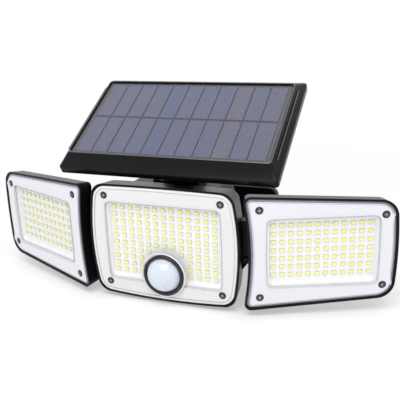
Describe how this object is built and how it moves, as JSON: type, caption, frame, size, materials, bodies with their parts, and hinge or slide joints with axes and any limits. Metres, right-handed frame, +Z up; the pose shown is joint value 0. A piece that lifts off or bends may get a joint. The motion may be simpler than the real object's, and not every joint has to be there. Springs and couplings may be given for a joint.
{
  "type": "motion sensor security light",
  "caption": "Wall-mounted solar security light: a centre lamp with a motion sensor, a hinged lamp on each side, and a tilting solar panel above.",
  "frame": {"origin": "middle of the wall plate's back face", "axes": "+Y into the wall, +Z up, +X to the right for a viewer who faces the lamps"},
  "size_m": [0.3264, 0.135, 0.155],
  "materials": {
    "black_shell": "fine moulded grain",
    "white_cover": "gloss",
    "reflector": "gloss",
    "led": "gloss",
    "led_board": "gloss",
    "seal": "matte",
    "sensor_ring": "gloss",
    "sensor_lens": "satin, lets light through",
    "sensor_can": "satin",
    "black_screw": "satin",
    "bolt": "satin",
    "cell_wrap": "gloss",
    "cradle": "matte",
    "board": "satin",
    "switch": "satin",
    "button": "soft satin",
    "solar_cell": "fine ribbed gloss",
    "solar_sheet": "satin",
    "panel_glass": "clear gloss",
    "bush": "satin"
  },
  "bodies": {
    "wall": {"wall_plate": "black_shell", "wall_arm": "black_shell", "arm_screws": "black_screw", "neck_bolt": "bolt", "neck_nut": "bolt"},
    "lamp": {"centre_housing": "black_shell", "rear_housing": "black_shell", "rear_gasket": "seal", "centre_gasket": "seal", "centre_reflector": "reflector", "centre_led_board": "led_board", "centre_leds": "led", "centre_cover": "white_cover", "pir_ring": "sensor_ring", "pir_dome": "sensor_lens", "pir_sensor": "sensor_can", "centre_cover_screws": "black_screw", "battery_cells": "cell_wrap", "battery_cradle": "cradle", "driver_board": "board", "button_switch": "switch", "rear_screws": "black_screw", "left_hinge_pin": "bolt", "right_hinge_pin": "bolt", "left_hinge_bushes": "bush", "right_hinge_bushes": "bush", "panel_bracket": "black_shell", "panel_bracket_screws": "black_screw", "panel_bolt": "bolt", "panel_nut": "bolt"},
    "button": {"mode_button": "button"},
    "panel": {"panel_frame": "black_shell", "panel_glass": "panel_glass", "solar_cells": "solar_cell", "panel_board": "solar_sheet", "panel_back": "black_shell", "panel_screws": "black_screw"},
    "left_lamp": {"left_housing": "black_shell", "left_arm": "black_shell", "left_arm_screws": "black_screw", "left_gasket": "seal", "left_reflector": "reflector", "left_led_board": "led_board", "left_leds": "led", "left_cover": "white_cover", "left_cover_screws": "black_screw"},
    "right_lamp": {"right_housing": "black_shell", "right_arm": "black_shell", "right_arm_screws": "black_screw", "right_gasket": "seal", "right_reflector": "reflector", "right_led_board": "led_board", "right_leds": "led", "right_cover": "white_cover", "right_cover_screws": "black_screw"}
  },
  "joints": [
    {"name": "head_tilt", "type": "hinge", "parent": "wall", "child": "lamp", "pos_m": [0, -0.058, 0.018], "axis": [1, 0, 0], "range_deg": [0, 35]},
    {"name": "panel_tilt", "type": "hinge", "parent": "lamp", "child": "panel", "pos_m": [0, -0.066, 0.07], "axis": [1, 0, 0], "range_deg": [-29.5, 0]},
    {"name": "right_swing", "type": "hinge", "parent": "lamp", "child": "right_lamp", "pos_m": [0.067, -0.103, 0.018], "axis": [0, 0, 1], "range_deg": [-13, 45]},
    {"name": "left_swing", "type": "hinge", "parent": "lamp", "child": "left_lamp", "pos_m": [-0.067, -0.103, 0.018], "axis": [0, 0, -1], "range_deg": [-13, 45]},
    {"name": "button_press", "type": "slide", "parent": "lamp", "child": "button", "axis": [0, 0, 1], "range_m": [0, 0.001], "stiffness_N_per_m": 400, "springref_m": -0.0005}
  ]
}
